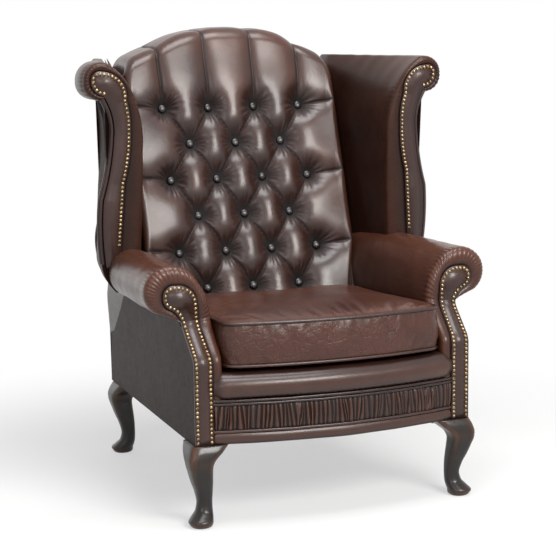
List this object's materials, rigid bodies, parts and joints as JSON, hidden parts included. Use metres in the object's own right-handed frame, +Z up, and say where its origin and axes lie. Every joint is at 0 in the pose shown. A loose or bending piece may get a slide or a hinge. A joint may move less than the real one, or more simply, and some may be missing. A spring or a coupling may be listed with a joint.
{
  "type": "wingback armchair",
  "caption": "Leather wing armchair with a deep-buttoned camel back, scroll arms, a loose bow-front seat cushion, brass nailing and cabriole legs.",
  "frame": {"origin": "middle of the chair's footprint, on the floor", "axes": "+Z is up and the sitter faces -Y. +X points to the right for someone who looks at the chair from the front, and pieces named right are on the +X side"},
  "size_m": [0.8986, 0.8394, 1.067],
  "materials": {
    "piping": "dark corded leather",
    "nails": "antique brass, rubbed on the domes",
    "facing": "waxed antique leather",
    "buttons": "polished covered buttons",
    "tufted_back": "waxed antique leather, dark in the pleats",
    "inside_leather": "waxed antique leather, warm where rubbed",
    "cushion": "soft sheen",
    "front_leather": "waxed antique leather",
    "outside_leather": "smooth, polished",
    "legs": "ebonised and polished, brown at the edges",
    "bolts": "plain",
    "dust_cover": "black cloth",
    "deck_cloth": "brown platform cloth",
    "webbing": "jute webbing",
    "springs": "spring wire",
    "frame_wood": "raw beech and plywood"
  },
  "bodies": {
    "chair": {"arm_facing_left": "facing", "arm_facing_right": "facing", "arm_nails_left": "nails", "arm_nails_right": "nails", "arm_pad_left": "inside_leather", "arm_pad_right": "inside_leather", "arm_post_left": "frame_wood", "arm_post_right": "frame_wood", "arm_rail_left": "frame_wood", "arm_rail_right": "frame_wood", "back_buttons": "buttons", "back_lower_rail": "frame_wood", "back_pad": "tufted_back", "back_post_left": "frame_wood", "back_post_right": "frame_wood", "back_top_rail": "frame_wood", "back_webbing": "webbing", "corner_blocks": "frame_wood", "dust_cover": "dust_cover", "front_roll": "front_leather", "leg_bolts": "bolts", "leg_front_left": "legs", "leg_front_right": "legs", "leg_rear_left": "legs", "leg_rear_right": "legs", "lower_band": "front_leather", "outside_arm_left": "outside_leather", "outside_arm_right": "outside_leather", "outside_back": "outside_leather", "outside_wing_left": "outside_leather", "outside_wing_right": "outside_leather", "ruched_band": "front_leather", "seat_deck": "deck_cloth", "seat_rail_back": "frame_wood", "seat_rail_front": "frame_wood", "seat_rail_left": "frame_wood", "seat_rail_right": "frame_wood", "seat_springs": "springs", "seat_webbing": "webbing", "welt_lower": "piping", "welt_upper": "piping", "wing_facing_left": "facing", "wing_facing_right": "facing", "wing_nails_left": "nails", "wing_nails_right": "nails", "wing_pad_left": "inside_leather", "wing_pad_right": "inside_leather", "wing_post_left": "frame_wood", "wing_post_right": "frame_wood", "wing_rail_left": "frame_wood", "wing_rail_right": "frame_wood"},
    "cushion": {"seat_cushion": "cushion", "cushion_piping_top": "piping", "cushion_piping_bottom": "piping"}
  },
  "joints": [
    {"name": "cushion_lift", "type": "slide", "parent": "chair", "child": "cushion", "axis": [0, 0, 1], "range_m": [0, 0.75]}
  ]
}
